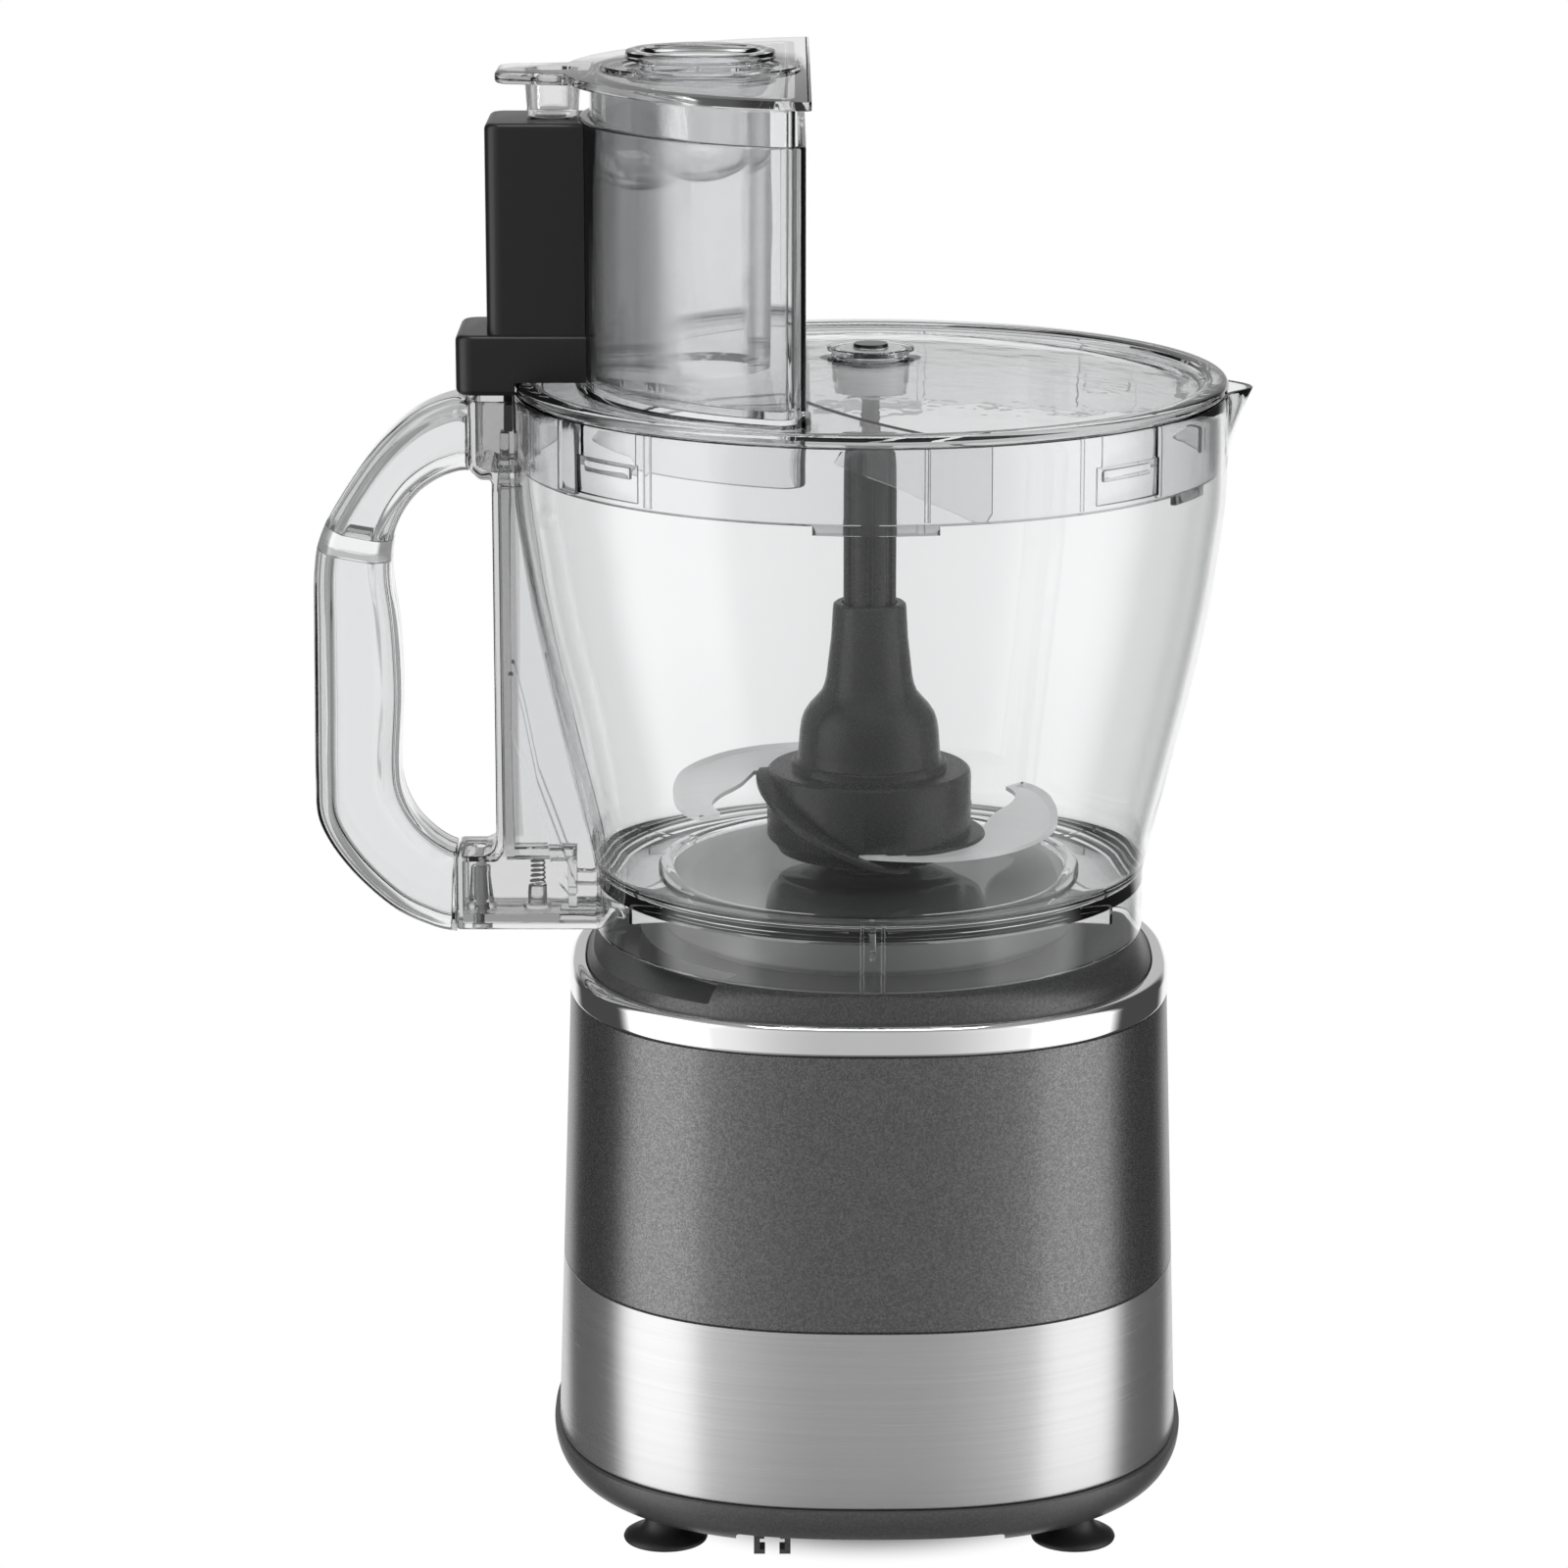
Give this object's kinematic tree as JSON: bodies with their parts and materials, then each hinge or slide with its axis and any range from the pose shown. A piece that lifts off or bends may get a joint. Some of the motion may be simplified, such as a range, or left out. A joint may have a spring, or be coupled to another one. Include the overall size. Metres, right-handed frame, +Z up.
{
  "type": "food processor",
  "caption": "Kitchen food processor: round-cornered motor base, clear bowl with a side handle and a twin blade on a shaft, clear lid with a wide feed tube and pushers.",
  "frame": {"origin": "on the worktop under the drive axis", "axes": "+Z up along the drive axis, +X to the pouring lip with the handle at -X, +Y to the speed dial"},
  "size_m": [0.2886, 0.2178, 0.4522],
  "materials": {
    "paint": "metallic satin",
    "deck_paint": "metallic satin",
    "tray_plastic": "metallic satin",
    "brushed_band": "brushed",
    "chrome": "polished",
    "black_rubber": "matte",
    "drive_belt_rubber": "matte",
    "screw_steel": "satin",
    "spring_steel": "bright",
    "motor_iron": "laminated",
    "cast_alloy": "cast",
    "winding": "lacquered",
    "dark_plastic": "matte",
    "pulley_metal": "sintered",
    "bronze": "sintered",
    "circuit_board": "lacquered",
    "dial_finish": "spun",
    "clear_bowl": "clear moulded plastic",
    "clear_grip": "clear moulded plastic",
    "clear_rod": "clear moulded plastic",
    "clear_lid": "clear moulded plastic",
    "clear_pusher": "clear moulded plastic",
    "clear_cup": "clear moulded plastic",
    "white_bush": "translucent white",
    "shaft_plastic": "satin",
    "hub_plastic": "satin",
    "blade_steel": "satin",
    "cover_plastic": "fine matte"
  },
  "bodies": {
    "base": {"bottom_tray": "tray_plastic", "steel_band": "brushed_band", "upper_housing": "paint", "chrome_ring": "chrome", "top_deck": "deck_paint", "suction_foot_1": "black_rubber", "suction_foot_2": "black_rubber", "suction_foot_3": "black_rubber", "suction_foot_4": "black_rubber", "cord_clip": "tray_plastic", "cord_gland": "black_rubber", "case_screws": "screw_steel", "chassis": "cast_alloy", "motor_stator": "motor_iron", "motor_brackets": "cast_alloy", "drive_belt": "drive_belt_rubber", "lower_bearing": "bronze", "upper_bearing": "bronze", "control_board": "circuit_board", "rotary_switch": "dark_plastic", "dial_bezel": "chrome", "safety_switch": "dark_plastic"},
    "dial": {"speed_dial": "dial_finish"},
    "rotor": {"motor_rotor": "winding", "motor_fan": "dark_plastic", "motor_pulley": "pulley_metal"},
    "spindle": {"output_spindle": "screw_steel", "driven_pulley": "dark_plastic"},
    "bowl": {"bowl": "clear_bowl", "bowl_bracket": "clear_bowl", "handle_grip": "clear_grip", "grip_screws": "screw_steel", "rod_spring": "spring_steel"},
    "rod": {"lock_rod": "clear_rod"},
    "shaft": {"drive_shaft": "shaft_plastic"},
    "blades": {"blade_hub": "hub_plastic", "upper_blade": "blade_steel", "lower_blade": "blade_steel", "hub_cap": "hub_plastic"},
    "lid": {"lid": "clear_lid", "lid_bearing": "white_bush", "lid_pin": "screw_steel", "lock_cover": "cover_plastic", "plunger_spring": "spring_steel"},
    "plunger": {"plunger": "cover_plastic"},
    "pusher": {"pusher": "clear_pusher"},
    "small_pusher": {"small_pusher": "clear_cup"}
  },
  "joints": [
    {"name": "spindle_spin", "type": "hinge", "parent": "base", "child": "spindle", "pos_m": [0, 0, 0.03], "axis": [0, 0, 1], "continuous": true},
    {"name": "rotor_spin", "type": "hinge", "parent": "base", "child": "rotor", "pos_m": [0.05, 0, 0.03], "axis": [0, 0, 1], "continuous": true},
    {"name": "dial_turn", "type": "hinge", "parent": "base", "child": "dial", "pos_m": [0, 0.09, 0.118], "axis": [0, 1, 0], "range_deg": [-220, 35]},
    {"name": "bowl_lift", "type": "slide", "parent": "base", "child": "bowl", "axis": [0, 0, 1], "range_m": [0, 0.08]},
    {"name": "shaft_spin", "type": "hinge", "parent": "bowl", "child": "shaft", "pos_m": [0, 0, 0.22], "axis": [0, 0, 1], "continuous": true},
    {"name": "blade_lift", "type": "slide", "parent": "shaft", "child": "blades", "axis": [0, 0, 1], "range_m": [0, 0.06]},
    {"name": "lid_lift", "type": "slide", "parent": "bowl", "child": "lid", "axis": [0, 0, 1], "range_m": [0, 0.12]},
    {"name": "plunger_press", "type": "slide", "parent": "lid", "child": "plunger", "axis": [0, 0, 1], "range_m": [-0.004, 0], "stiffness_N_per_m": 150, "springref_m": 0.004, "deforming": ["plunger_spring"]},
    {"name": "rod_press", "type": "slide", "parent": "bowl", "child": "rod", "axis": [0, 0, 1], "range_m": [-0.004, 0], "stiffness_N_per_m": 150, "springref_m": 0.004, "deforming": ["rod_spring"]},
    {"name": "pusher_lift", "type": "slide", "parent": "lid", "child": "pusher", "axis": [0, 0, 1], "range_m": [0, 0.13]},
    {"name": "small_pusher_lift", "type": "slide", "parent": "pusher", "child": "small_pusher", "axis": [0, 0, 1], "range_m": [0, 0.06]}
  ],
  "couplings": [
    {"joint": "rotor_spin", "follows": "spindle_spin", "ratio": 4},
    {"joint": "shaft_spin", "follows": "spindle_spin", "ratio": 1},
    {"joint": "rod_press", "follows": "plunger_press", "ratio": 1}
  ]
}
